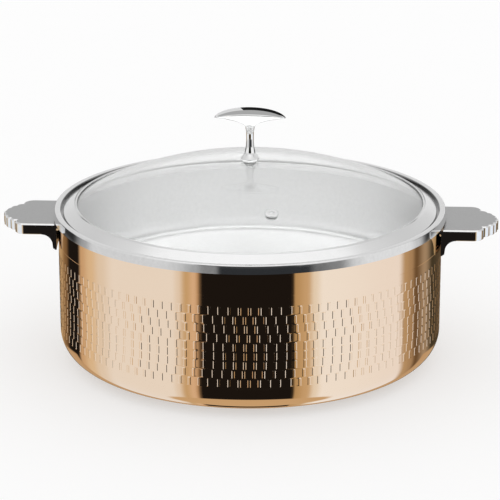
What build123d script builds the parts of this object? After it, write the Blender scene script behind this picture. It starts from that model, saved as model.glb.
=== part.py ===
from build123d import *
import os
from math import asin, cos, degrees, radians, sin, sqrt

# Round chafing dish with a lift-out food pan and a lift-off glass lid.
# Millimetres, +Z up. The origin is on the table, in the middle of the base.
# The two handles are on the X axis.

# ---- base and water pan ----
BASE_RADIUS = 148.0            # heat-spreading disc under the floor
BASE_DISC_THICKNESS = 2.2
BASE_CAP_THICKNESS = 0.6
SHELL_Z = BASE_CAP_THICKNESS + BASE_DISC_THICKNESS   # underside of the pan floor
SHELL_RADIUS = 179.4           # outside of the straight wall
SHELL_WALL = 1.2
SHELL_CORNER = 25.0            # outside radius between wall and floor
HAMMER_LOW = 26.0              # hammered band, heights above the pan floor
HAMMER_HIGH = 112.0
HAMMER_RECESS = 0.2
EDGE_FOLD_WIDTH = 3.0          # folded top edge that carries the food pan
EDGE_FOLD_HEIGHT = 2.4

# ---- food pan ----
SHEET = 1.0
CREST_HEIGHT = 141.6           # top of the flange above the shell floor
BAND_RADIUS = 182.9            # outside of the turned-down band
BAND_HEIGHT = 8.0
RECESS_RADIUS = 176.8          # wall of the recess that holds the lid
RECESS_DEPTH = 5.0
PAN_TOP_RADIUS = 170.0         # inside of the pan at the ledge
PAN_FLOOR_RADIUS = 166.0       # inside of the pan where wall meets floor
PAN_FLOOR_HEIGHT = 70.0
PAN_CORNER = 14.0

# ---- lid ----
GLASS_EDGE_RADIUS = 161.4      # where the glass comes out from under the ring
GLASS_EDGE_HEIGHT = 145.0
GLASS_RISE = 38.9
GLASS_THICKNESS = 4.0
GLASS_RIM_RADIUS = 168.0
GLASS_BORE = 3.0
LID_RADIUS = 174.6
SEAL = 0.5
LIP = 0.8
BEAD_RADIUS = 0.95             # rolled edge of the ring on the glass
SEAL_EDGE_RADIUS = 163.6       # where the seal starts on top of the glass
LOWER_LIP_RADIUS = 164.5       # where seal and channel start under the glass
SKIRT_DEPTH = 6.6              # below the ledge, keeps the lid centred
VENT_RADIUS = 110.7            # distance of the vent from the middle
VENT_ANGLE = -77.0
VENT_FLANGE_RADIUS = 6.2
VENT_HOLE_RADIUS = 2.4

# ---- knob ----
KNOB_HEIGHT = 51.9             # crown above the top of the glass
KNOB_HALF_LENGTH = 34.2
KNOB_HALF_WIDTH = 14.0
KNOB_CAP_DEPTH = 12.0          # semi-axis of the arched crown
STEM_TOP = 22.0                # below the crown, where the stem starts to flare
STEM_NECK = 3.2
STEM_FOOT = 4.2
KNOB_BORE = 2.0
COLLAR_HEIGHT = 7.9
COLLAR_RADIUS = 8.5
UPPER_WASHER = 0.5
LOWER_WASHER = 1.0
CUP_WASHER = 0.8
SCREW_RADIUS = 1.98

# ---- handles ----
HANDLE_TOP = 131.0             # above the shell floor
HANDLE_THICKNESS = 10.2
HANDLE_LEG = 23.8              # from the top down to the end of the leg
HANDLE_HALF_WIDTH = 38.2
HANDLE_FILLET = 10.0
HANDLE_CHAMFER = 1.2
LEG_THICKNESS = 1.4
PLATE_THICKNESS = 1.9
PLATE_BEND = 420.0             # the plate is flatter than the wall and rests on two bosses
PLATE_STANDOFF = 0.05
BOSS_RADIUS = 6.0
BACKING_THICKNESS = 1.5
SCREW_ANGLE = 7.0              # either side of the handle's middle
HANDLE_SCREW_RADIUS = 2.4

# ---- derived ----
CREST_Z = SHELL_Z + CREST_HEIGHT
LEDGE_Z = CREST_Z - RECESS_DEPTH
APEX_Z = SHELL_Z + GLASS_EDGE_HEIGHT + GLASS_RISE
DOME_RADIUS = (GLASS_EDGE_RADIUS**2 + GLASS_RISE**2) / (2 * GLASS_RISE)
DOME_CENTRE_Z = APEX_Z - DOME_RADIUS
CROWN_Z = APEX_Z + KNOB_HEIGHT
STEM_Z = APEX_Z + UPPER_WASHER + COLLAR_HEIGHT
HANDLE_TOP_Z = SHELL_Z + HANDLE_TOP
PLATE_CENTRE_X = SHELL_RADIUS + PLATE_STANDOFF - PLATE_BEND
PLATE_OUTER = PLATE_BEND + PLATE_THICKNESS
BACKING_RADIUS = SHELL_RADIUS - SHELL_WALL - BACKING_THICKNESS


def on_dome(radius, offset=0.0):
    """Point of a profile at a plan radius, offset from the outer face of the glass."""
    height = sqrt((DOME_RADIUS + offset) ** 2 - radius**2)
    return (radius, DOME_CENTRE_Z + height)


def dome_arc(start, end, offset=0.0):
    """Arc that follows the dome from one plan radius to another."""
    middle = (start + end) / 2
    return ThreePointArc(on_dome(start, offset), on_dome(middle, offset), on_dome(end, offset))


def turned(*edges):
    """Solid of revolution about Z from a closed profile of radius and height."""
    wire = Wire.combine([edge for item in edges for edge in item.edges()])[0]
    face = Plane.XZ * make_face(wire)
    return revolve(face, axis=Axis.Z)


def ring(inner, outer, low, high):
    """Plain ring, or a disc when the inner radius is nought."""
    face = Plane.XZ * Pos((inner + outer) / 2, (low + high) / 2) * Rectangle(outer - inner, high - low)
    return revolve(face, axis=Axis.Z)


def smooth_line(points, radii):
    """Open profile with rounded corners."""
    return FilletPolyline(*points, radius=radii)


def make_base_disc():
    return ring(0, BASE_RADIUS, BASE_CAP_THICKNESS, SHELL_Z)


def make_base_cap():
    outer = BASE_RADIUS + BASE_CAP_THICKNESS
    cap = ring(0, outer, 0, SHELL_Z) - ring(0, BASE_RADIUS, BASE_CAP_THICKNESS, SHELL_Z + 1)
    rim = cap.edges().filter_by(GeomType.CIRCLE).group_by(Axis.Z)[0]
    return fillet(rim, 0.5)


def make_body_shell():
    """Deep pan: floor, large corner, straight wall and an edge folded outwards."""
    top = CREST_Z - SHEET
    fold_low = top - EDGE_FOLD_HEIGHT
    inner = SHELL_RADIUS - SHELL_WALL
    low = SHELL_Z + HAMMER_LOW
    high = SHELL_Z + HAMMER_HIGH
    recess = SHELL_RADIUS - HAMMER_RECESS
    outside = smooth_line(
        [
            (0, SHELL_Z),
            (SHELL_RADIUS, SHELL_Z),
            (SHELL_RADIUS, low - 0.6),
            (recess, low),
            (recess, high),
            (SHELL_RADIUS, high + 0.6),
            (SHELL_RADIUS, fold_low),
            (inner + EDGE_FOLD_WIDTH, fold_low),
            (inner + EDGE_FOLD_WIDTH, top),
            (inner, top),
        ],
        [SHELL_CORNER, 0, 0, 0, 0, 0.8, 0.7, 0.7],
    )
    inside = smooth_line(
        [(inner, top), (inner, SHELL_Z + SHELL_WALL), (0, SHELL_Z + SHELL_WALL)],
        [SHELL_CORNER - SHELL_WALL],
    )
    shell = turned(outside, inside, Line((0, SHELL_Z + SHELL_WALL), (0, SHELL_Z)))
    return shell - screw_holes(HANDLE_SCREW_RADIUS + 0.3)


def make_food_pan():
    """Shallow pan: floor, tapered wall, lid ledge, recess wall, flange and band."""
    floor = SHELL_Z + PAN_FLOOR_HEIGHT
    band_low = CREST_Z - BAND_HEIGHT
    upper = smooth_line(
        [
            (0, floor),
            (PAN_FLOOR_RADIUS, floor),
            (PAN_TOP_RADIUS, LEDGE_Z),
            (RECESS_RADIUS, LEDGE_Z),
            (RECESS_RADIUS, CREST_Z),
            (BAND_RADIUS, CREST_Z),
            (BAND_RADIUS, band_low),
        ],
        [PAN_CORNER, 1.2, 0.6, 0.9, 1.5],
    )
    lower = smooth_line(
        [
            (BAND_RADIUS - SHEET, band_low),
            (BAND_RADIUS - SHEET, CREST_Z - SHEET),
            (RECESS_RADIUS + SHEET, CREST_Z - SHEET),
            (RECESS_RADIUS + SHEET, LEDGE_Z - SHEET),
            (PAN_TOP_RADIUS + SHEET, LEDGE_Z - SHEET),
            (PAN_FLOOR_RADIUS + SHEET, floor - SHEET),
            (0, floor - SHEET),
        ],
        [0.5, 0, 1.0, 0.2, PAN_CORNER + SHEET],
    )
    hem = Line((BAND_RADIUS, band_low), (BAND_RADIUS - SHEET, band_low))
    middle = Line((0, floor - SHEET), (0, floor))
    return turned(upper, hem, lower, middle)


def make_lid_ring():
    """Steel ring: channel around the glass, sloping collar, outer foot and skirt."""
    skirt_outer = PAN_TOP_RADIUS - 0.4
    skirt_inner = skirt_outer - 1.0
    foot_inner = LID_RADIUS - 1.2
    skirt_z = LEDGE_Z - SKIRT_DEPTH
    under = 0.1
    seal_edge = GLASS_RIM_RADIUS + SEAL
    inner = GLASS_EDGE_RADIUS + BEAD_RADIUS - 0.35
    lower_lip = LOWER_LIP_RADIUS
    slope = LID_RADIUS - 1.0
    turn_z = on_dome(LID_RADIUS, SEAL + LIP)[1] - 1.0
    parts = [
        dome_arc(inner, slope, SEAL + LIP),
        Line(on_dome(slope, SEAL + LIP), (LID_RADIUS, turn_z)),
        Line((LID_RADIUS, turn_z), (LID_RADIUS, LEDGE_Z)),
        Line((LID_RADIUS, LEDGE_Z), (foot_inner, LEDGE_Z)),
        Line((foot_inner, LEDGE_Z), on_dome(foot_inner, under)),
        dome_arc(foot_inner, skirt_outer, under),
        Line(on_dome(skirt_outer, under), (skirt_outer, skirt_z)),
        Line((skirt_outer, skirt_z), (skirt_inner, skirt_z)),
        Line((skirt_inner, skirt_z), on_dome(skirt_inner, -GLASS_THICKNESS - SEAL - LIP)),
        dome_arc(skirt_inner, lower_lip, -GLASS_THICKNESS - SEAL - LIP),
        Line(on_dome(lower_lip, -GLASS_THICKNESS - SEAL - LIP), on_dome(lower_lip, -GLASS_THICKNESS - SEAL)),
        dome_arc(lower_lip, seal_edge, -GLASS_THICKNESS - SEAL),
        Line(on_dome(seal_edge, -GLASS_THICKNESS - SEAL), on_dome(seal_edge, SEAL)),
        dome_arc(seal_edge, inner, SEAL),
        Line(on_dome(inner, SEAL), on_dome(inner, SEAL + LIP)),
    ]
    body = turned(*parts)
    bead_at = on_dome(GLASS_EDGE_RADIUS + BEAD_RADIUS, BEAD_RADIUS + 0.1)
    bead = revolve(Plane.XZ * Pos(*bead_at) * Circle(BEAD_RADIUS), axis=Axis.Z)
    return body + bead


def make_lid_seal():
    """Silicone channel around the edge of the glass."""
    inner = SEAL_EDGE_RADIUS
    lower = LOWER_LIP_RADIUS
    rim = GLASS_RIM_RADIUS
    outer = rim + SEAL
    parts = [
        dome_arc(inner, rim, 0),
        Line(on_dome(rim, 0), on_dome(rim, -GLASS_THICKNESS)),
        dome_arc(rim, lower, -GLASS_THICKNESS),
        Line(on_dome(lower, -GLASS_THICKNESS), on_dome(lower, -GLASS_THICKNESS - SEAL)),
        dome_arc(lower, outer, -GLASS_THICKNESS - SEAL),
        Line(on_dome(outer, -GLASS_THICKNESS - SEAL), on_dome(outer, SEAL)),
        dome_arc(outer, inner, SEAL),
        Line(on_dome(inner, SEAL), on_dome(inner, 0)),
    ]
    return turned(*parts)


def make_lid_glass():
    """Domed glass with a bore for the knob screw and one for the vent."""
    parts = [
        dome_arc(GLASS_BORE, GLASS_RIM_RADIUS, 0),
        Line(on_dome(GLASS_RIM_RADIUS, 0), on_dome(GLASS_RIM_RADIUS, -GLASS_THICKNESS)),
        dome_arc(GLASS_RIM_RADIUS, GLASS_BORE, -GLASS_THICKNESS),
        Line(on_dome(GLASS_BORE, -GLASS_THICKNESS), on_dome(GLASS_BORE, 0)),
    ]
    hole = vent_place() * Cylinder(VENT_HOLE_RADIUS + 1.2, 30)
    return turned(*parts) - hole


def vent_place():
    """Frame on the outer face of the glass at the vent, Z outwards."""
    tilt = degrees(asin(VENT_RADIUS / DOME_RADIUS))
    return Rot(0, 0, VENT_ANGLE) * Pos(0, 0, DOME_CENTRE_Z) * Rot(0, tilt, 0) * Pos(0, 0, DOME_RADIUS)


def make_vent_eyelet():
    """Eyelet: a rounded flange on the glass and a tube through it."""
    tube = ring(VENT_HOLE_RADIUS, VENT_HOLE_RADIUS + 0.9, -GLASS_THICKNESS - 1.6, 1.0)
    flange = ring(VENT_HOLE_RADIUS, VENT_FLANGE_RADIUS, 0.06, 1.3)
    outer = flange.edges().filter_by(GeomType.CIRCLE).group_by(Axis.Z)[-1].sort_by(SortBy.RADIUS)[-1]
    flange = fillet(outer, 0.9)
    eyelet = flange + tube
    return vent_place() * eyelet


def make_vent_washer():
    """Ring pressed on the tube of the eyelet under the glass."""
    low = -GLASS_THICKNESS - 1.2
    high = -GLASS_THICKNESS - 0.08
    washer = ring(VENT_HOLE_RADIUS + 0.9, 5.6, low, high)
    return vent_place() * washer


def make_knob():
    """T-shaped grip: an arched leaf on a trumpet stem, threaded from below."""
    sections = [
        (-STEM_TOP, STEM_NECK, STEM_NECK),
        (-18.0, 3.9, 3.7),
        (-14.0, 7.4, 4.9),
        (-11.4, 16.5, 6.2),
        (-8.8, 34.0, 7.9),
        (-5.0, 50.0, 10.7),
        (0.5, 62.0, 14.5),
    ]
    rings = [Pos(0, 0, CROWN_Z + z) * Ellipse(x, y) for z, x, y in sections]
    trumpet = loft(rings)
    cap = Pos(0, 0, CROWN_Z - KNOB_CAP_DEPTH) * scale(
        Sphere(1.0), by=(KNOB_HALF_LENGTH, KNOB_HALF_WIDTH, KNOB_CAP_DEPTH)
    )
    collar_z = STEM_Z
    neck_z = CROWN_Z - STEM_TOP
    stem_side = Spline(
        (STEM_FOOT, collar_z),
        (STEM_NECK, collar_z + 5.0),
        (STEM_NECK - 0.1, (collar_z + neck_z) / 2),
        (STEM_NECK, neck_z),
    )
    stem = turned(
        stem_side,
        Line((STEM_NECK, neck_z), (0, neck_z)),
        Line((0, neck_z), (0, collar_z)),
        Line((0, collar_z), (STEM_FOOT, collar_z)),
    )
    bore = ring(0, KNOB_BORE, collar_z, collar_z + 9.0)
    return (trumpet & cap) + (stem - bore)


def make_knob_collar():
    """Flared collar between the stem and the upper washer."""
    low = APEX_Z + UPPER_WASHER
    high = STEM_Z
    profile = FilletPolyline(
        (2.3, low),
        (COLLAR_RADIUS - 0.8, low),
        (COLLAR_RADIUS, low + 2.3),
        (5.2, high - 1.2),
        (4.6, high),
        (2.3, high),
        radius=[0.7, 0.7, 1.2, 0.3],
    )
    return turned(profile, Line((2.3, high), (2.3, low)))


def make_knob_upper_washer():
    parts = [
        dome_arc(GLASS_BORE, 7.3, 0),
        Line(on_dome(7.3, 0), (7.3, APEX_Z + UPPER_WASHER)),
        Line((7.3, APEX_Z + UPPER_WASHER), (GLASS_BORE, APEX_Z + UPPER_WASHER)),
        Line((GLASS_BORE, APEX_Z + UPPER_WASHER), on_dome(GLASS_BORE, 0)),
    ]
    return turned(*parts)


def make_knob_lower_washer():
    low = APEX_Z - GLASS_THICKNESS - LOWER_WASHER
    parts = [
        dome_arc(2.3, 5.6, -GLASS_THICKNESS),
        Line(on_dome(5.6, -GLASS_THICKNESS), (5.6, low)),
        Line((5.6, low), (2.3, low)),
        Line((2.3, low), on_dome(2.3, -GLASS_THICKNESS)),
    ]
    return turned(*parts)


def make_knob_cup_washer():
    high = APEX_Z - GLASS_THICKNESS - LOWER_WASHER
    return ring(2.2, 4.8, high - CUP_WASHER, high)


def make_knob_screw():
    """Pan-head machine screw with a cross recess."""
    seat = APEX_Z - GLASS_THICKNESS - LOWER_WASHER - CUP_WASHER
    shank_top = STEM_Z + 8.0
    shank = ring(0, SCREW_RADIUS, seat, shank_top)
    head = ring(0, 3.6, seat - 1.9, seat)
    rim = head.edges().filter_by(GeomType.CIRCLE).group_by(Axis.Z)[0]
    head = fillet(rim, 1.0)
    slot = Pos(0, 0, seat - 1.9) * (Box(3.8, 0.8, 1.8) + Box(0.8, 3.8, 1.8))
    return shank + head - slot


def plate_section(inner, outer, half_width, low, high):
    """Curved plate on the right-hand side of the pan."""
    full = ring(inner, outer, low, high)
    keep = Pos(inner, 0, (low + high) / 2) * Box(80, 2 * half_width, high - low + 2)
    return full & keep


def screw_height():
    return HANDLE_TOP_Z - HANDLE_THICKNESS / 2


def screw_places():
    """Frames of the two screws of the right-hand handle, Z pointing outwards."""
    places = []
    for angle in (-SCREW_ANGLE, SCREW_ANGLE):
        places.append(Pos(0, 0, screw_height()) * Rot(0, 0, angle) * Rot(0, 90, 0))
    return places


def screw_holes(radius):
    """Cutters through the wall for the screws of both handles."""
    cutters = []
    for place in screw_places():
        cutter = place * Pos(0, 0, SHELL_RADIUS) * Cylinder(radius, 24)
        cutters.append(cutter)
        cutters.append(Rot(0, 0, 180) * cutter)
    return cutters


def bend_disc(radius, low, high):
    """Disc about the centre that the mounting plate is bent around."""
    return Pos(PLATE_CENTRE_X, 0, 0) * ring(0, radius, low, high)


def make_handle_plate():
    """Mounting plate with two bosses that fit the round wall."""
    low = HANDLE_TOP_Z - HANDLE_LEG - 0.8
    high = HANDLE_TOP_Z - 0.6
    keep = Pos(SHELL_RADIUS, 0, (low + high) / 2) * Box(40, 2 * HANDLE_HALF_WIDTH + 1, high - low)
    plate = (bend_disc(PLATE_OUTER, low, high) - bend_disc(PLATE_BEND, low, high)) & keep
    for place in screw_places():
        boss = place * Pos(0, 0, SHELL_RADIUS - 1) * Cylinder(BOSS_RADIUS, 6)
        plate = plate + (boss & bend_disc(PLATE_BEND + 0.5, low, high))
    plate = plate - ring(0, SHELL_RADIUS + 0.01, low - 1, high + 1)
    return plate - screw_holes(HANDLE_SCREW_RADIUS + 0.3)


def make_handle_backing():
    low = screw_height() - 7.0
    high = screw_height() + 7.0
    strip = plate_section(BACKING_RADIUS, SHELL_RADIUS - SHELL_WALL, 32.0, low, high)
    return strip - screw_holes(HANDLE_SCREW_RADIUS + 0.3)


def handle_outline():
    """Half of the fluted end: notches between lobes, from the side to the tip."""
    return [(207.2, HANDLE_HALF_WIDTH), (216.8, 25.5), (223.0, 19.6), (227.4, 12.6), (229.9, 4.6)]


def lobe(start, end, bulge):
    """Arc between two notches that swells outwards."""
    middle_x = (start[0] + end[0]) / 2
    middle_y = (start[1] + end[1]) / 2
    length = sqrt((end[0] - start[0]) ** 2 + (end[1] - start[1]) ** 2)
    out_x = (start[1] - end[1]) / length
    out_y = (end[0] - start[0]) / length
    return ThreePointArc(start, (middle_x + bulge * out_x, middle_y + bulge * out_y), end)


def make_handle():
    """Right-hand handle: a flat shelf with a fluted end and a leg down the wall."""
    notches = handle_outline()
    points = notches + [(x, -y) for x, y in reversed(notches)]
    bulges = [3.9, 1.7, 1.7, 1.6, 1.9, 1.6, 1.7, 1.7, 3.9]
    edges = [lobe(a, b, bulge) for a, b, bulge in zip(points, points[1:], bulges)]
    root_x = 150.0
    edges.append(Line(points[-1], (root_x, -HANDLE_HALF_WIDTH)))
    edges.append(Line((root_x, -HANDLE_HALF_WIDTH), (root_x, HANDLE_HALF_WIDTH)))
    edges.append(Line((root_x, HANDLE_HALF_WIDTH), points[0]))
    plan = make_face(Wire.combine(edges)[0])
    shelf = extrude(Pos(0, 0, HANDLE_TOP_Z - HANDLE_THICKNESS) * plan, HANDLE_THICKNESS)
    rims = shelf.edges().group_by(Axis.Z)
    shelf = chamfer(rims[-1], HANDLE_CHAMFER)
    rims = shelf.edges().group_by(Axis.Z)
    shelf = chamfer(rims[0], 0.5)
    underside = HANDLE_TOP_Z - HANDLE_THICKNESS
    leg_low = HANDLE_TOP_Z - HANDLE_LEG
    inner = PLATE_BEND + 1.0
    leg = PLATE_OUTER + LEG_THICKNESS
    arc_low = (leg + 0.4, underside - HANDLE_FILLET)
    arc_high = (leg + 0.4 + HANDLE_FILLET, underside)
    arc_middle = (
        arc_high[0] - HANDLE_FILLET * sin(radians(45)),
        arc_low[1] + HANDLE_FILLET * cos(radians(45)),
    )
    web = turned(
        Line((inner, underside + 2), (inner, leg_low)),
        Line((inner, leg_low), (leg - 0.5, leg_low)),
        Line((leg - 0.5, leg_low), (leg, leg_low + 0.5)),
        Line((leg, leg_low + 0.5), arc_low),
        ThreePointArc(arc_low, arc_middle, arc_high),
        Line(arc_high, (arc_high[0], underside + 2)),
        Line((arc_high[0], underside + 2), (inner, underside + 2)),
    )
    keep = Pos(SHELL_RADIUS, 0, underside) * Box(60, 2 * HANDLE_HALF_WIDTH, 60)
    body = shelf + (Pos(PLATE_CENTRE_X, 0, 0) * web & keep)
    body = body - bend_disc(PLATE_OUTER, leg_low - 5, HANDLE_TOP_Z + 5)
    holes = [place * Pos(0, 0, 176.0) * Cylinder(2.45, 40.0) for place in screw_places()]
    return body - holes


def make_handle_screws():
    """Two pan-head screws, heads inside the pan."""
    screws = []
    seat = BACKING_RADIUS - 0.07
    for place in screw_places():
        shank = Pos(0, 0, (seat + 194.0) / 2) * Cylinder(HANDLE_SCREW_RADIUS, 194.0 - seat)
        head = Pos(0, 0, seat - 1.1) * Cylinder(4.4, 2.2)
        rim = head.edges().filter_by(GeomType.CIRCLE).group_by(Axis.Z)[0]
        head = fillet(rim, 1.0)
        slot = Pos(0, 0, seat - 2.2) * (Box(4.4, 1.0, 1.8) + Box(1.0, 4.4, 1.8))
        screws.append(place * (shank + head - slot))
    return screws


def left(shape):
    """The same piece on the left-hand side."""
    return Rot(0, 0, 180) * shape


def save(name, *shapes):
    """One STEP file per named piece."""
    solids = [solid for shape in shapes for solid in shape.solids()]
    shape = solids[0] if len(solids) == 1 else Compound(children=solids)
    shape.label = name
    export_step(shape, "parts/" + name + ".step")


os.makedirs("parts", exist_ok=True)

save("base_disc", make_base_disc())
save("base_cap", make_base_cap())
save("body_shell", make_body_shell())
save("food_pan", make_food_pan())
save("lid_ring", make_lid_ring())
save("lid_seal", make_lid_seal())
save("lid_glass", make_lid_glass())
save("vent_eyelet", make_vent_eyelet())
save("vent_washer", make_vent_washer())
save("knob", make_knob())
save("knob_collar", make_knob_collar())
save("knob_upper_washer", make_knob_upper_washer())
save("knob_lower_washer", make_knob_lower_washer())
save("knob_cup_washer", make_knob_cup_washer())
save("knob_screw", make_knob_screw())

handle = make_handle()
plate = make_handle_plate()
backing = make_handle_backing()
screws = make_handle_screws()
save("handle_right", handle)
save("handle_left", left(handle))
save("handle_plate_right", plate)
save("handle_plate_left", left(plate))
save("handle_backing_right", backing)
save("handle_backing_left", left(backing))
save("handle_screws_right", *screws)
save("handle_screws_left", *[left(screw) for screw in screws])
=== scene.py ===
import math

import bmesh
import bpy
import numpy as np
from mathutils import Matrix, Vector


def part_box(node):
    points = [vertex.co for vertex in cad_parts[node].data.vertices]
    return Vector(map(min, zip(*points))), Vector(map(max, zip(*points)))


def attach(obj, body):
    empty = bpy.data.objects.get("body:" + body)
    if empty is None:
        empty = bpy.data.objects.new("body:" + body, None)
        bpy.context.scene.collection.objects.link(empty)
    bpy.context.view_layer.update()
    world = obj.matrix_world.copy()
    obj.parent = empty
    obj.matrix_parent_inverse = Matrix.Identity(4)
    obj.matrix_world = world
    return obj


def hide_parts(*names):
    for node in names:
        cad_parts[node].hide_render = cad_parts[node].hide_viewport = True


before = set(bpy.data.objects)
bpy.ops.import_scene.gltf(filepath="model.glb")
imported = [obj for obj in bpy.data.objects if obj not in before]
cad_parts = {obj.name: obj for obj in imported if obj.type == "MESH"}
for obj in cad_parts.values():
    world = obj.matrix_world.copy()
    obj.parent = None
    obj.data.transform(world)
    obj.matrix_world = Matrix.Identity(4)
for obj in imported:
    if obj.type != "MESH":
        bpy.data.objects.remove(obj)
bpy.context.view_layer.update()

MM = 0.001
SEGMENTS = 360  # points round a turned piece
ON_AXIS = 1e-7  # a smaller radius counts as a point on the axis
GRAIN_DEPTH = 0.2 * MM

# ---- dimensions of the dish, in metres, in the frame of the CAD ----
SHELL_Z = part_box("body_shell")[0].z
SHELL_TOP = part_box("body_shell")[1].z
SHELL_RADIUS = 179.4 * MM
SHELL_WALL = 1.2 * MM
SHELL_CORNER = 25.0 * MM
FOLD_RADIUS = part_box("body_shell")[1].x
FOLD_HEIGHT = 2.4 * MM
HAMMER_LOW = SHELL_Z + 27.0 * MM
HAMMER_HIGH = SHELL_Z + 112.0 * MM
HAMMER_RECESS = 0.2 * MM
HAMMER_EDGE = 0.6 * MM

CREST_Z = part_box("food_pan")[1].z
BAND_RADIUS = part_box("food_pan")[1].x
BAND_HEIGHT = 8.0 * MM
BAND_LEAN = 0.7 * MM
LEDGE_Z = CREST_Z - 5.0 * MM
RECESS_RADIUS = 176.8 * MM
PAN_TOP_RADIUS = 170.0 * MM
PAN_FLOOR_RADIUS = 166.0 * MM
PAN_FLOOR_Z = SHELL_Z + 70.0 * MM
PAN_SHEET = 1.0 * MM

GLASS_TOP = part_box("lid_glass")[1].z
GLASS_THICKNESS = 4.0 * MM
GLASS_RIM_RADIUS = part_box("lid_glass")[1].x
GLASS_EDGE_RADIUS = 161.4 * MM
GLASS_RISE = 38.9 * MM
DOME_RADIUS = (GLASS_EDGE_RADIUS**2 + GLASS_RISE**2) / (2 * GLASS_RISE)
DOME_CENTRE = GLASS_TOP - DOME_RADIUS
LID_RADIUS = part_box("lid_ring")[1].x
SEAL_GAP = 0.5 * MM
RING_SHEET = 0.8 * MM

CROWN_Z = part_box("knob")[1].z - 1.0 * MM
STEM_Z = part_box("knob")[0].z
COLLAR_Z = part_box("knob_collar")[0].z

CELLS_AROUND = 126
ROW_HEIGHT = 8.41 * MM
# sideways offset of each row of ridges in parts of the pitch, from the lowest row up
ROW_SHIFTS = (0.47, 0.91, 0.04, 0.07, 0.04, 0.38, 0.14, 0.0, 0.53)
ROW_GAP = 0.35 * MM
RIDGE_TAPER = 0.8 * MM
RIDGE_HEIGHT = 0.2 * MM


# ---- mesh helpers ----
def make_object(name, verts, faces, smooth_angle=40.0):
    """Mesh object with its faces turned outwards, smooth up to an angle in degrees."""
    mesh = bpy.data.meshes.new(name)
    mesh.from_pydata([tuple(v) for v in verts], [], [tuple(f) for f in faces])
    mesh.validate()
    work = bmesh.new()
    work.from_mesh(mesh)
    bmesh.ops.recalc_face_normals(work, faces=work.faces)
    work.to_mesh(mesh)
    work.free()
    mesh.shade_smooth()
    mesh.set_sharp_from_angle(angle=math.radians(smooth_angle))
    obj = bpy.data.objects.new(name, mesh)
    bpy.context.scene.collection.objects.link(obj)
    return obj


def rounded(points, radii, steps=6):
    """Profile of (radius, height) with each corner between its ends rounded to its radius.

    steps is the number of chords in a quarter turn.
    """
    out = [np.array(points[0], float)]
    for i in range(1, len(points) - 1):
        before, corner, after = (np.array(p, float) for p in points[i - 1:i + 2])
        radius = radii[i - 1]
        if radius <= 0:
            out.append(corner)
            continue
        u = (before - corner) / np.linalg.norm(before - corner)
        v = (after - corner) / np.linalg.norm(after - corner)
        half = math.acos(max(-1.0, min(1.0, float(u @ v)))) / 2
        reach = radius / math.tan(half)
        start = corner + u * reach
        end = corner + v * reach
        bisector = (u + v) / np.linalg.norm(u + v)
        centre = corner + bisector * radius / math.sin(half)
        a0 = math.atan2(*(start - centre)[::-1])
        a1 = math.atan2(*(end - centre)[::-1])
        turn = (a1 - a0 + math.pi) % (2 * math.pi) - math.pi
        count = max(2, int(steps * abs(turn) / (math.pi / 2)) + 1)
        for k in range(count + 1):
            a = a0 + turn * k / count
            out.append(centre + radius * np.array([math.cos(a), math.sin(a)]))
    out.append(np.array(points[-1], float))
    return out


def turned(profile, segments, first=0):
    """Vertices of a turned profile of (radius, height), and the vertex numbers of each ring.

    A point on the axis is a ring of one vertex. The numbers start at first.
    """
    verts, rings = [], []
    for radius, z in profile:
        start = first + len(verts)
        if radius < ON_AXIS:
            verts.append((0.0, 0.0, z))
        else:
            for k in range(segments):
                a = 2 * math.pi * k / segments
                verts.append((radius * math.cos(a), radius * math.sin(a), z))
        rings.append(list(range(start, first + len(verts))))
    return verts, rings


def join(rings):
    """Faces from each ring of vertex numbers to the next: a fan where one of them is one vertex."""
    faces = []
    for low, high in zip(rings, rings[1:]):
        count = max(len(low), len(high))
        for k in range(count):
            n = (k + 1) % count
            if len(low) == 1:
                faces.append((low[0], high[n], high[k]))
            elif len(high) == 1:
                faces.append((low[k], low[n], high[0]))
            else:
                faces.append((low[k], low[n], high[n], high[k]))
    return faces


def lathe(name, profile, segments=SEGMENTS, closed=True):
    """Turned piece. A closed profile runs back to its first point; an open one ends on the axis."""
    verts, rings = turned(profile, segments)
    return make_object(name, verts, join(rings + rings[:1] if closed else rings))


def on_dome(radius, offset=0.0):
    """Point of a profile at a radius on the outside of the glass, or at an offset from it."""
    return (radius, DOME_CENTRE + math.sqrt((DOME_RADIUS + offset) ** 2 - radius**2))


def dome_line(start, end, offset=0.0, count=4):
    return [on_dome(start + (end - start) * k / count, offset) for k in range(count + 1)]


# ---- materials ----
def grey(level):
    return (level, level, level)


def new_material(name, **values):
    """Material, its tree and its principled shader; values are inputs of the shader."""
    mat = bpy.data.materials.new(name)
    mat.use_nodes = True
    shader = mat.node_tree.nodes["Principled BSDF"]
    for key, value in values.items():
        shader.inputs[key.replace("_", " ")].default_value = value
    return mat, mat.node_tree, shader


def feed(tree, socket, value):
    """Links an output to a socket, or sets the socket to a number or a colour."""
    if isinstance(value, bpy.types.NodeSocket):
        tree.links.new(value, socket)
    elif isinstance(value, tuple):
        socket.default_value = (*value, 1)
    else:
        socket.default_value = value


def add(tree, kind, **values):
    """New node; values are its inputs or its settings."""
    node = tree.nodes.new(kind)
    for key, value in values.items():
        if key in node.inputs.keys() or key.replace("_", " ") in node.inputs.keys():
            node.inputs[key.replace("_", " ")].default_value = value
        else:
            setattr(node, key, value)
    return node


def noise(tree, scale, detail=3.0, stretch=(1, 1, 1)):
    """Noise that stays with the object, finer along an axis with a larger stretch."""
    coords = add(tree, "ShaderNodeTexCoord")
    mapping = add(tree, "ShaderNodeMapping")
    mapping.inputs["Scale"].default_value = stretch
    tex = add(tree, "ShaderNodeTexNoise", Scale=scale, Detail=detail)
    tree.links.new(coords.outputs["Object"], mapping.inputs["Vector"])
    tree.links.new(mapping.outputs["Vector"], tex.inputs["Vector"])
    return tex.outputs["Fac"]


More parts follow.
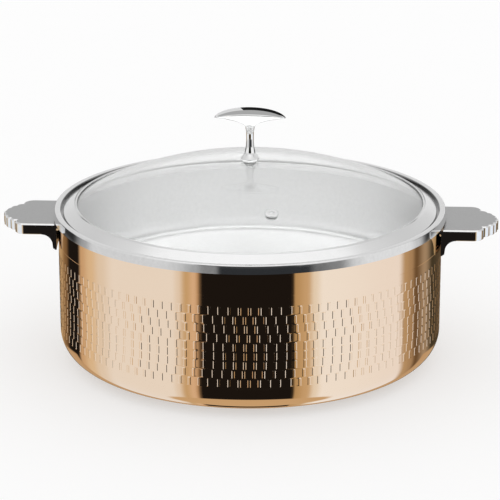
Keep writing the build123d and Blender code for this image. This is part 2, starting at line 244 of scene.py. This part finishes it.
def ranged(tree, source, low, high, source_low=0.3, source_high=0.7):
    """Maps source_low and source_high to low and high; by default they suit a noise."""
    node = add(tree, "ShaderNodeMapRange")
    node.inputs["From Min"].default_value = source_low
    node.inputs["From Max"].default_value = source_high
    node.inputs["To Min"].default_value = low
    node.inputs["To Max"].default_value = high
    tree.links.new(source, node.inputs["Value"])
    return node.outputs["Result"]


def mixed(tree, factor, a, b, blend_type="MIX"):
    """Colour mix; the factor and both colours are outputs or plain values."""
    node = add(tree, "ShaderNodeMix", data_type="RGBA", blend_type=blend_type)
    first, second = (s for s in node.inputs if s.type == "RGBA")
    for socket, value in ((node.inputs["Factor"], factor), (first, a), (second, b)):
        feed(tree, socket, value)
    return next(s for s in node.outputs if s.type == "RGBA")


def bump(tree, shader, height, strength):
    node = add(tree, "ShaderNodeBump", Strength=strength, Distance=GRAIN_DEPTH)
    tree.links.new(height, node.inputs["Height"])
    tree.links.new(node.outputs["Normal"], shader.inputs["Normal"])


def metal(name, tones, roughness, grain_scale, grain_bump, stretch=(1, 1, 1)):
    """Metal with two close tones, and a fine grain that varies its roughness."""
    mat, tree, shader = new_material(name, Metallic=1.0)
    tone = noise(tree, 14.0, 4.0)
    tree.links.new(mixed(tree, tone, *tones), shader.inputs["Base Color"])
    grain = noise(tree, grain_scale, 5.0, stretch)
    tree.links.new(ranged(tree, grain, *roughness), shader.inputs["Roughness"])
    if grain_bump:
        bump(tree, shader, grain, grain_bump)
    return mat


rose_gold = metal("rose_gold", ((0.90, 0.70, 0.52), (0.89, 0.68, 0.50)), (0.02, 0.05),
                  90.0, 0.01, (1, 1, 0.15))
polished = metal("polished_steel", (grey(0.88), grey(0.84)), (0.05, 0.11), 160.0, 0.01)
ring_steel = metal("ring_steel", (grey(0.84), grey(0.80)), (0.10, 0.20), 160.0, 0.01)
chrome = metal("knob_chrome", (grey(0.92), grey(0.90)), (0.01, 0.03), 60.0, 0.0)
plain_steel = metal("plain_steel", (grey(0.62), grey(0.56)), (0.30, 0.42), 300.0, 0.04)
aluminium = metal("aluminium", (grey(0.80), (0.74, 0.74, 0.75)), (0.35, 0.45), 300.0, 0.04)


def two_finishes(name, mask, outer, inner, rough_outer, rough_inner):
    """Metal with two finishes. The mask, a function of the tree, is 1 on the inner finish."""
    mat, tree, shader = new_material(name, Metallic=1.0)
    factor = mask(tree)
    grain = noise(tree, 350.0, 4.0)
    tone = ranged(tree, grain, 0.94, 1.0)
    colour = mixed(tree, 1.0, mixed(tree, factor, outer, inner), tone, "MULTIPLY")
    tree.links.new(colour, shader.inputs["Base Color"])
    rough = ranged(tree, factor, rough_outer, rough_inner, 0.0, 1.0)
    tree.links.new(rough, shader.inputs["Roughness"])
    bump(tree, shader, grain, 0.02)
    return mat


def faces_up(tree):
    """1 on faces that look straight up."""
    normal = add(tree, "ShaderNodeNewGeometry")
    split = add(tree, "ShaderNodeSeparateXYZ")
    tree.links.new(normal.outputs["Normal"], split.inputs["Vector"])
    return ranged(tree, split.outputs["Z"], 0.0, 1.0, 0.90, 0.97)


def from_axis(tree):
    """Distance from the main axis of the dish."""
    coords = add(tree, "ShaderNodeTexCoord")
    flat = add(tree, "ShaderNodeMapping")
    flat.inputs["Scale"].default_value = (1, 1, 0)
    length = add(tree, "ShaderNodeVectorMath", operation="LENGTH")
    tree.links.new(coords.outputs["Object"], flat.inputs["Vector"])
    tree.links.new(flat.outputs["Vector"], length.inputs[0])
    return length.outputs["Value"]


def inside_pan(tree):
    """1 on the inside of the food pan, below the ledge."""
    soft = 0.3 * MM
    return ranged(tree, from_axis(tree), 1.0, 0.0, PAN_TOP_RADIUS - soft, PAN_TOP_RADIUS + soft)


def groove(tree):
    """1 in the narrow recess of the food pan round the lid."""
    distance = from_axis(tree)
    inner = ranged(tree, distance, 0.0, 1.0, LID_RADIUS - 2.0 * MM, LID_RADIUS - 1.0 * MM)
    outer = ranged(tree, distance, 1.0, 0.0, RECESS_RADIUS + 0.2 * MM, RECESS_RADIUS + 0.5 * MM)
    both = add(tree, "ShaderNodeMath", operation="MULTIPLY")
    tree.links.new(inner, both.inputs[0])
    tree.links.new(outer, both.inputs[1])
    return both.outputs[0]


def shade(mat, mask, colour):
    """Multiplies the colour of a material by another where the mask is 1."""
    tree = mat.node_tree
    socket = tree.nodes["Principled BSDF"].inputs["Base Color"]
    source = socket.links[0].from_socket
    tree.links.new(mixed(tree, mask(tree), source, colour, "MULTIPLY"), socket)


satin = two_finishes("satin_casting", faces_up, grey(0.86), grey(0.47), 0.06, 0.36)
# the groove round the lid is darkened by a painted shade, because what it mirrors is too bright
pan_steel = two_finishes("pan_steel", inside_pan, grey(0.88), grey(0.86), 0.07, 0.30)
shade(pan_steel, groove, grey(0.40))

silicone, tree, shader = new_material("silicone", Roughness=0.6)
tone = mixed(tree, noise(tree, 60.0), (0.62, 0.62, 0.61), (0.70, 0.70, 0.69))
tree.links.new(tone, shader.inputs["Base Color"])

glass, tree, shader = new_material("clear_glass", Roughness=0.0, IOR=1.5, Transmission_Weight=1.0)
shader.inputs["Base Color"].default_value = (0.985, 0.99, 0.988, 1)


def finish_piece(obj, body, mat, slot, *nodes):
    """Gives a piece its material and its body, and hides the CAD nodes that it replaces; slot is
    not used.
    """
    obj.data.materials.clear()
    obj.data.materials.append(mat)
    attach(obj, body)
    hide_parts(*nodes)


# ---- hammered water pan ----
def hammered_rows():
    """Heights of the rings of the belt, each with its row, its sideways shift and its relief."""
    cuts = [ROW_GAP + RIDGE_TAPER * k / 2 for k in (0, 1, 2)]
    cuts += [ROW_HEIGHT - cut for cut in reversed(cuts)]
    for row, shift in enumerate(ROW_SHIFTS):
        for cut in cuts:
            z = HAMMER_LOW + row * ROW_HEIGHT + cut
            yield z, row, shift, (min(cut, ROW_HEIGHT - cut) - ROW_GAP) / RIDGE_TAPER


def make_shell():
    """Turned pan with a hammered belt: rows of flat cells with upright ridges between them."""
    rng = np.random.default_rng(5)
    recess = SHELL_RADIUS - HAMMER_RECESS
    pitch = 2 * math.pi / CELLS_AROUND
    # one cell sideways: both flanks and the flat top of its ridge, then two points on the flat
    across = np.array([-1.4, -1.12, -0.85, 0.85, 1.12, 1.4, 3.4, 5.4]) * MM
    relief = np.array([0.0, 0.5, 1.0, 1.0, 0.5, 0.0, 0.0, 0.0]) * RIDGE_HEIGHT
    strength = rng.uniform(0.9, 1.15, (len(ROW_SHIFTS), CELLS_AROUND))
    nudge = rng.normal(0.0, 0.14 * MM, (len(ROW_SHIFTS), CELLS_AROUND))
    verts, belt = [], []
    for z, row, shift, amount in hammered_rows():
        start = len(verts)
        for cell in range(CELLS_AROUND):
            for u, ridge in zip(across, relief):
                r = recess + ridge * amount * strength[row, cell]
                a = (cell + shift) * pitch + (u + nudge[row, cell]) / recess
                verts.append((r * math.cos(a), r * math.sin(a), z))
        belt.append(list(range(start, len(verts))))
    faces = join(belt)

    belt_low, belt_high = verts[0][2], verts[-1][2]
    inner = SHELL_RADIUS - SHELL_WALL
    floor = SHELL_Z + SHELL_WALL
    fold_low = SHELL_TOP - FOLD_HEIGHT
    below = rounded(
        [
            (0, SHELL_Z), (SHELL_RADIUS, SHELL_Z),
            (SHELL_RADIUS, SHELL_Z + SHELL_CORNER + 0.2 * MM),
            (recess, HAMMER_LOW), (recess, belt_low),
        ],
        [SHELL_CORNER, 0, 0],
        steps=16,
    )
    above = rounded(
        [
            (recess, belt_high), (recess, HAMMER_HIGH), (SHELL_RADIUS, HAMMER_HIGH + HAMMER_EDGE),
            (SHELL_RADIUS, fold_low), (FOLD_RADIUS, fold_low), (FOLD_RADIUS, SHELL_TOP),
            (inner, SHELL_TOP), (inner, floor), (0, floor),
        ],
        [0.5 * MM, 0.5 * MM, 0, 0.8 * MM, 0.7 * MM, 0.5 * MM, SHELL_CORNER - SHELL_WALL],
        steps=13,
    )
    for profile in (below, above):
        more, rings = turned(profile, SEGMENTS, len(verts))
        verts += more
        faces += join(rings)
    return make_object("water_pan_hammered", verts, faces, 8.0)


finish_piece(make_shell(), "water_pan", rose_gold, "rose_gold_steel", "body_shell")


# ---- food pan ----
def make_food_pan():
    """Pressed pan: floor, wall, ledge for the lid, crest and the leaning band outside."""
    band_low = CREST_Z - BAND_HEIGHT
    upper = rounded(
        [
            (0, PAN_FLOOR_Z), (PAN_FLOOR_RADIUS, PAN_FLOOR_Z), (PAN_TOP_RADIUS, LEDGE_Z),
            (RECESS_RADIUS, LEDGE_Z), (RECESS_RADIUS, CREST_Z), (BAND_RADIUS - BAND_LEAN, CREST_Z),
            (BAND_RADIUS, band_low),
        ],
        [14.0 * MM, 1.2 * MM, 0.6 * MM, 0.9 * MM, 1.1 * MM],
        steps=8,
    )
    lower = rounded(
        [
            (BAND_RADIUS - PAN_SHEET, band_low), (BAND_RADIUS - PAN_SHEET, CREST_Z - PAN_SHEET),
            (RECESS_RADIUS + PAN_SHEET, CREST_Z - PAN_SHEET),
            (RECESS_RADIUS + PAN_SHEET, LEDGE_Z - PAN_SHEET),
            (PAN_TOP_RADIUS + PAN_SHEET, LEDGE_Z - PAN_SHEET),
            (PAN_FLOOR_RADIUS + PAN_SHEET, PAN_FLOOR_Z - PAN_SHEET), (0, PAN_FLOOR_Z - PAN_SHEET),
        ],
        [0.5 * MM, 0, 1.0 * MM, 0.2 * MM, 15.0 * MM],
    )
    return lathe("food_pan_steel", upper + lower, closed=False)


finish_piece(make_food_pan(), "food_pan", pan_steel, "pan_steel", "food_pan")


# ---- lid ----
def make_lid_ring():
    """Pressed ring: bead on the glass, top in line with the dome, foot, skirt and seal lip."""
    bead_radius = 0.95 * MM
    seal_inner = 164.5 * MM
    skirt_outer = PAN_TOP_RADIUS - 0.4 * MM
    skirt_inner = skirt_outer - 1.0 * MM
    foot_inner = LID_RADIUS - 1.2 * MM
    skirt_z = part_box("lid_ring")[0].z
    seal_edge = GLASS_RIM_RADIUS + SEAL_GAP
    low = -GLASS_THICKNESS - SEAL_GAP
    inner = GLASS_EDGE_RADIUS
    bead_r, bead_z = on_dome(inner + bead_radius, 1.05 * MM)
    bead = []
    for k in range(11):
        a = math.radians(250.0 - 22.0 * k)
        bead.append((bead_r + bead_radius * math.cos(a), bead_z + bead_radius * math.sin(a)))
    top = dome_line(inner + 2.1 * MM, LID_RADIUS - 1.0 * MM, SEAL_GAP + RING_SHEET, 6)
    edge_z = top[-1][1]
    turn = [(LID_RADIUS - 0.35 * MM, edge_z - 0.35 * MM), (LID_RADIUS, edge_z - 1.0 * MM)]
    foot = [(LID_RADIUS, LEDGE_Z), (foot_inner, LEDGE_Z)]
    under = dome_line(foot_inner, skirt_outer, 0.1 * MM, 2)
    skirt = [(skirt_outer, skirt_z), (skirt_inner, skirt_z)]
    lip = dome_line(skirt_inner, seal_inner, low - RING_SHEET, 2)
    lip += dome_line(seal_inner, seal_edge, low, 2)
    roof = dome_line(seal_edge, inner + 1.3 * MM, SEAL_GAP, 3)
    return lathe("lid_ring_polished", bead + top + turn + foot + under + skirt + lip + roof)


def make_lid_glass():
    """Domed glass with a bore for the knob's screw."""
    bore = 3.0 * MM
    outside = dome_line(bore, GLASS_RIM_RADIUS, 0, 40)
    inside = dome_line(GLASS_RIM_RADIUS, bore, -GLASS_THICKNESS, 40)
    return lathe("lid_glass_dome", outside + inside, segments=240)


finish_piece(make_lid_ring(), "lid", ring_steel, "polished_steel", "lid_ring")
finish_piece(make_lid_glass(), "lid", glass, "clear_glass", "lid_glass")


# ---- knob ----
def make_knob():
    """Arched leaf on a trumpet stem: rings up the stem, out to the edge and over the crown."""
    half_length, half_width = 33.0 * MM, 11.0 * MM
    cap_x, cap_y, cap_z = 34.2 * MM, 14.0 * MM, 12.0 * MM
    neck, neck_radius = 19.4 * MM, 4.2 * MM
    lip, inset = 0.9 * MM, 0.985
    rise_ends, rise_sides = 0.385, 0.60
    # radius in mm at each part of the height of the stem, from its foot to the neck
    stem = [(4.9, 0.0), (4.6, 0.06), (4.15, 0.15), (3.75, 0.28), (3.5, 0.45), (3.4, 0.62),
            (3.45, 0.78), (3.7, 0.9), (4.2, 1.0)]
    around, under_steps, crown_steps = 128, 22, 18
    circle = [(math.cos(a), math.sin(a)) for a in (2 * math.pi * k / around for k in range(around))]

    def cap(x, y):
        """Height of the crown at a point, measured from its middle."""
        return cap_z * (math.sqrt(max(0.0, 1 - (x / cap_x) ** 2 - (y / cap_y) ** 2)) - 1)

    def stem_ring(radius, part):
        z = stem_low + (-neck - stem_low) * part
        return [(radius * c, radius * q, z) for c, q in circle]

    def under_ring(s):
        """Underside at a part s of the way out from the neck, steeper towards the ends."""
        points = []
        for c, q in circle:
            x_edge, y_edge = half_length * c, half_width * q
            z_edge = cap(x_edge, y_edge) - lip
            x_edge, y_edge = inset * x_edge, inset * y_edge
            x_neck, y_neck = neck_radius * c, neck_radius * q
            out = s * s
            up = s ** (2 * (rise_ends * c * c + rise_sides * q * q))
            points.append((x_neck + (x_edge - x_neck) * out, y_neck + (y_edge - y_neck) * out,
                           -neck + (z_edge + neck) * up))
        return points

    def crown_ring(scale, drop=0.0):
        points = [(scale * half_length * c, scale * half_width * q) for c, q in circle]
        return [(x, y, cap(x, y) - drop) for x, y in points]

    stem_low = STEM_Z - CROWN_Z
    rings = [stem_ring(radius * MM, part) for radius, part in stem]
    rings += [under_ring(i / under_steps) for i in range(1, under_steps + 1)]
    rings += [crown_ring(1.0, 0.5 * MM), crown_ring(0.992, 0.12 * MM)]
    rings += [crown_ring(0.975 * (1 - i / crown_steps)) for i in range(1, crown_steps)]
    verts = [(x, y, z + CROWN_Z) for points in rings for x, y, z in points]
    numbers = [list(range(i * around, (i + 1) * around)) for i in range(len(rings))]
    numbers.append([len(verts)])
    verts.append((0, 0, CROWN_Z))
    faces = join(numbers)
    faces.append(tuple(reversed(numbers[0])))
    return make_object("knob_grip", verts, faces, 60.0)


def make_collar():
    """Flared collar that the knob stands on, with a bore for the screw."""
    bore = 2.3 * MM
    profile = rounded(
        [
            (bore, COLLAR_Z), (7.9 * MM, COLLAR_Z), (8.6 * MM, COLLAR_Z + 2.3 * MM),
            (5.2 * MM, STEM_Z - 1.2 * MM), (4.6 * MM, STEM_Z), (bore, STEM_Z),
        ],
        [0.7 * MM, 0.8 * MM, 1.2 * MM, 0.2 * MM],
    )
    return lathe("knob_collar_flared", profile, segments=96)


finish_piece(make_knob(), "lid", chrome, "knob_chrome", "knob")
finish_piece(make_collar(), "lid", chrome, "knob_chrome", "knob_collar")


# ---- materials of the CAD nodes that stay ----
def paint(names, mat):
    for name in names:
        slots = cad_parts[name].data.materials
        slots.clear()
        slots.append(mat)


paint(["handle_left", "handle_right"], satin)
paint(["handle_plate_left", "handle_plate_right", "vent_eyelet"], polished)
paint(["handle_backing_left", "handle_backing_right"], plain_steel)
paint(["handle_screws_left", "handle_screws_right"], plain_steel)
paint(["knob_cup_washer", "knob_screw", "vent_washer", "base_cap"], plain_steel)
paint(["base_disc"], aluminium)
paint(["lid_seal", "knob_upper_washer", "knob_lower_washer"], silicone)


# ---- stage: floor, world, camera and studio cards ----
def make_floor():
    """White floor that lights itself a little, and that neither metal nor clear glass shows."""
    half = 6.0
    verts = [(-half, -half, 0), (half, -half, 0), (half, half, 0), (-half, half, 0)]
    floor = make_object("floor", verts, [(0, 1, 2, 3)])
    mat, tree, shader = new_material("floor_white", Roughness=0.9, Emission_Strength=0.5)
    tone = mixed(tree, noise(tree, 3.0), grey(0.47), grey(0.46))
    tree.links.new(tone, shader.inputs["Base Color"])
    shader.inputs["Emission Color"].default_value = (1, 1, 1, 1)
    shader.inputs["Specular IOR Level"].default_value = 0.1
    floor.data.materials.append(mat)
    floor.visible_glossy = False
    floor.visible_transmission = False


# degrees, metres and millimetres of focal length
CAMERA_AZIMUTH = 3.0
CAMERA_PITCH = 18.07
CAMERA_DISTANCE = 2.256
CAMERA_TARGET_Z = 99.4 * MM
CAMERA_LENS = 172.6

# brightness of the world: seen directly, seen through clear glass, and mirrored by the metal
# under the glass, once or more often
BACKDROP = 1.08
BEHIND_GLASS = 0.82
UNDER_GLASS = 1.05
UNDER_GLASS_TWICE = 2.1


def make_world():
    """Studio all round the dish: soft boxes left and right, a dark opening towards the camera."""
    world = bpy.data.worlds.new("studio")
    bpy.context.scene.world = world
    world.use_nodes = True
    tree = world.node_tree
    tree.nodes.clear()
    links = tree.links
    coords = add(tree, "ShaderNodeTexCoord")
    turn = add(tree, "ShaderNodeMapping")
    turn.inputs["Rotation"].default_value = (0, 0, -math.radians(CAMERA_AZIMUTH))
    links.new(coords.outputs["Generated"], turn.inputs["Vector"])
    split = add(tree, "ShaderNodeSeparateXYZ")
    links.new(turn.outputs["Vector"], split.inputs["Vector"])

    def maths(operation, *values):
        node = add(tree, "ShaderNodeMath", operation=operation)
        for socket, value in zip(node.inputs, values):
            feed(tree, socket, value)
        return node.outputs[0]

    def ramp(position, stops):
        """Colours along a position from 0 to 1, blended smoothly between the stops."""
        node = add(tree, "ShaderNodeValToRGB")
        node.color_ramp.interpolation = "EASE"
        elements = node.color_ramp.elements
        while len(elements) > 1:
            elements.remove(elements[-1])
        for i, (at, colour) in enumerate(stops):
            element = elements[0] if i == 0 else elements.new(at)
            element.position = at
            element.color = (*colour, 1)
        links.new(position, node.inputs["Fac"])
        return node.outputs["Color"]

    # twice the bearing that a wall faces when it mirrors this direction towards the camera
    backwards = maths("SUBTRACT", math.cos(math.radians(CAMERA_PITCH + 1.0)), split.outputs["Y"])
    azimuth = maths("MULTIPLY", maths("ARCTAN2", split.outputs["X"], backwards), 2.0)
    around = maths("ADD", maths("DIVIDE", azimuth, 2 * math.pi), 0.5)
    height = maths("ADD", maths("DIVIDE", maths("ARCSINE", split.outputs["Z"]), math.pi), 0.5)

    def at(degrees):
        """Position of a bearing on a ramp round the dish."""
        return (degrees + 180.0) / 360.0

    # what the side wall mirrors: soft boxes left and right, a dark opening towards the camera
    dark = (0.012, 0.010, 0.009)
    box_left = (0.88, 0.92, 0.97)
    box_right = (0.95, 1.03, 1.13)
    horizon = ramp(around, [
        (at(-180), (0.22, 0.15, 0.08)),
        (at(-172), (0.48, 0.33, 0.18)),
        (at(-160), (0.48, 0.32, 0.16)),
        (at(-146), (0.22, 0.13, 0.06)),
        (at(-138), dark),
        (at(-125), dark),
        (at(-121), (0.62, 0.44, 0.27)),
        (at(-110), (0.76, 0.63, 0.45)),
        (at(-100), (0.80, 0.77, 0.72)),
        (at(-88), box_left),
        (at(-47), box_left),
        (at(-43), (0.82, 0.80, 0.77)),
        (at(-38), (0.61, 0.46, 0.27)),
        (at(-33), (0.74, 0.56, 0.40)),
        (at(-30.5), (0.50, 0.34, 0.20)),
        (at(-29), dark),
        (at(25), dark),
        (at(27), (0.52, 0.37, 0.19)),
        (at(34), (0.62, 0.47, 0.29)),
        (at(38.5), (0.84, 0.84, 0.80)),
        (at(44), box_right),
        (at(99), (0.91, 0.95, 1.03)),
        (at(106), (0.50, 0.37, 0.22)),
        (at(112), (0.42, 0.30, 0.18)),
        (at(118), (0.16, 0.10, 0.05)),
        (at(129), (0.38, 0.30, 0.21)),
        (at(142), (0.06, 0.05, 0.03)),
        (at(165), (0.10, 0.07, 0.04)),
        (at(180), (0.18, 0.12, 0.07)),
    ])
    # just above it, what the crown of the knob and the edge of the glass mirror
    low_sky = ramp(around, [
        (at(-180), grey(0.80)),
        (at(-150), grey(0.70)),
        (at(-142), grey(0.06)),
        (at(-128), grey(0.06)),
        (at(-120), grey(0.80)),
        (at(-34), grey(0.92)),
        (at(-28), dark),
        (at(24), dark),
        (at(30), grey(0.95)),
        (at(104), grey(0.95)),
        (at(116), grey(0.10)),
        (at(136), grey(0.06)),
        (at(146), grey(0.80)),
        (at(180), grey(0.85)),
    ])
    # between the two, what the leaning band of the food pan mirrors
    rim_light = ramp(around, [
        (at(-180), grey(0.03)),
        (at(-127), grey(0.03)),
        (at(-113), grey(0.40)),
        (at(-103), grey(0.72)),
        (at(-50), grey(0.72)),
        (at(-44), grey(0.65)),
        (at(-32), grey(0.42)),
        (at(-26), grey(0.26)),
        (at(-20), grey(0.26)),
        (at(-17), (0.03, 0.032, 0.035)),
        (at(33), (0.03, 0.032, 0.035)),
        (at(39), grey(0.17)),
        (at(52), grey(0.25)),
        (at(65), grey(0.72)),
        (at(72), grey(0.82)),
        (at(106), grey(0.82)),
        (at(116), grey(0.60)),
        (at(127), grey(0.05)),
        (at(180), grey(0.04)),
    ])

    def level(degrees):
        """Position of an elevation on a ramp from the bottom to the top of the world."""
        return 0.5 + degrees / 180

    # the ceiling, which the glass and the crown of the knob mirror
    above = ramp(height, [
        (0.0, grey(0.80)),
        (0.5, grey(0.80)),
        (level(35.0), grey(0.70)),
        (level(50.0), grey(0.80)),
        (level(60.0), grey(1.08)),
        (1.0, grey(1.12)),
    ])

    def band(low, high, soft):
        """1 between two elevations in degrees."""
        off, on = (0, 0, 0), (1, 1, 1)
        stops = [(level(high - soft), on), (level(high + soft), off)]
        if low > -90.0:
            stops = [(level(low - soft), off), (level(low + soft), on)] + stops
        return ramp(height, stops)

    studio = mixed(tree, band(-4.0, 14.0, 2.0), above, low_sky)
    studio = mixed(tree, band(-14.0, -3.0, 1.0), studio, rim_light)
    studio = mixed(tree, band(-90.0, -13.5, 0.8), studio, horizon)
    # far below, what the bottom corner mirrors
    studio = mixed(tree, band(-90.0, -66.0, 1.5), studio, (0.62, 0.46, 0.28))
    # low behind the dish, what the turned-in bottom edge mirrors: a brown strip and a dark outline
    away = maths("MULTIPLY_ADD", split.outputs["Y"], 0.5, 0.5)
    low_behind = band(-90.0, -23.5, 1.0)
    strip = maths("MULTIPLY", low_behind, ramp(away, [(0.79, (0, 0, 0)), (0.82, (1, 1, 1))]))
    outline = maths("MULTIPLY", low_behind, ramp(away, [(0.925, (0, 0, 0)), (0.94, (1, 1, 1))]))
    studio = mixed(tree, strip, studio, (0.55, 0.38, 0.22))
    studio = mixed(tree, outline, studio, (0.06, 0.04, 0.02))

    # by kind of ray: what clear glass shows and mirrors, then plain white for the camera and for
    # diffuse light, then even light for what the metal under the glass mirrors
    path = add(tree, "ShaderNodeLightPath").outputs
    seen = mixed(tree, path["Is Singular Ray"], studio, grey(BEHIND_GLASS))
    plain = maths("MAXIMUM", path["Is Camera Ray"], path["Is Diffuse Ray"])
    seen = mixed(tree, plain, seen, grey(BACKDROP))
    bounced = maths("GREATER_THAN", path["Glossy Depth"], 0.5)
    through_glass = maths("GREATER_THAN", path["Transmission Depth"], 3.5)
    under_glass = maths("MULTIPLY", through_glass, bounced)
    twice = maths("GREATER_THAN", path["Glossy Depth"], 1.5)
    light = mixed(tree, twice, grey(UNDER_GLASS), grey(UNDER_GLASS_TWICE))
    seen = mixed(tree, under_glass, seen, light)
    background = add(tree, "ShaderNodeBackground")
    links.new(seen, background.inputs["Color"])
    output = add(tree, "ShaderNodeOutputWorld")
    links.new(background.outputs["Background"], output.inputs["Surface"])


def make_camera():
    """Long lens, a little above the rim, aimed at the middle of the wall."""
    camera = bpy.data.objects.new("camera", bpy.data.cameras.new("camera"))
    bpy.context.scene.collection.objects.link(camera)
    bpy.context.scene.camera = camera
    pitch = math.radians(CAMERA_PITCH)
    azimuth = math.radians(CAMERA_AZIMUTH)
    target = np.array([0.0, 0.0, CAMERA_TARGET_Z])
    flat = math.cos(pitch)
    back = np.array([math.sin(azimuth) * flat, -math.cos(azimuth) * flat, math.sin(pitch)])
    camera.location = target + back * CAMERA_DISTANCE
    camera.rotation_euler = (math.pi / 2 - pitch, 0.0, azimuth)
    camera.data.sensor_width = 36.0
    camera.data.lens = CAMERA_LENS
    camera.data.clip_start = 0.05
    camera.data.clip_end = 50.0


def make_card(name, verts, colour):
    """Card that shows only in metal, as a mirror image: not directly, and not in clear glass."""
    card = make_object(name, verts, [(0, 1, 2, 3)])
    mat, tree, shader = new_material(name, Roughness=1.0, Emission_Strength=1.0)
    shader.inputs["Base Color"].default_value = (0.0, 0.0, 0.0, 1)
    shader.inputs["Emission Color"].default_value = (*colour, 1)
    shader.inputs["Specular IOR Level"].default_value = 0.0
    path = add(tree, "ShaderNodeLightPath")
    clear = add(tree, "ShaderNodeBsdfTransparent")
    mix = add(tree, "ShaderNodeMixShader")
    tree.links.new(path.outputs["Is Singular Ray"], mix.inputs["Fac"])
    tree.links.new(shader.outputs["BSDF"], mix.inputs[1])
    tree.links.new(clear.outputs["BSDF"], mix.inputs[2])
    tree.links.new(mix.outputs["Shader"], tree.nodes["Material Output"].inputs["Surface"])
    card.data.materials.append(mat)
    card.visible_camera = False
    card.visible_diffuse = False
    card.visible_transmission = False
    card.visible_shadow = False


def make_cards():
    """Black card behind the knob and a grey one over it: its dark crescent and its grey crown."""
    low, high = CROWN_Z - 9.0 * MM, CROWN_Z + 26.0 * MM
    left, right = -10.0 * MM, 50.0 * MM
    back, front, side = 15.0 * MM, -22.0 * MM, 85.0 * MM
    black = [(left, back, low), (right, back, low), (right, back, high), (left, back, high)]
    above = [(-side, front, high), (side, front, high), (side, back, high), (-side, back, high)]
    make_card("studio_black_card", black, grey(0.012))
    make_card("studio_grey_card", above, grey(0.42))


make_floor()
make_cards()
make_world()
make_camera()
bpy.context.scene.view_settings.view_transform = "Standard"
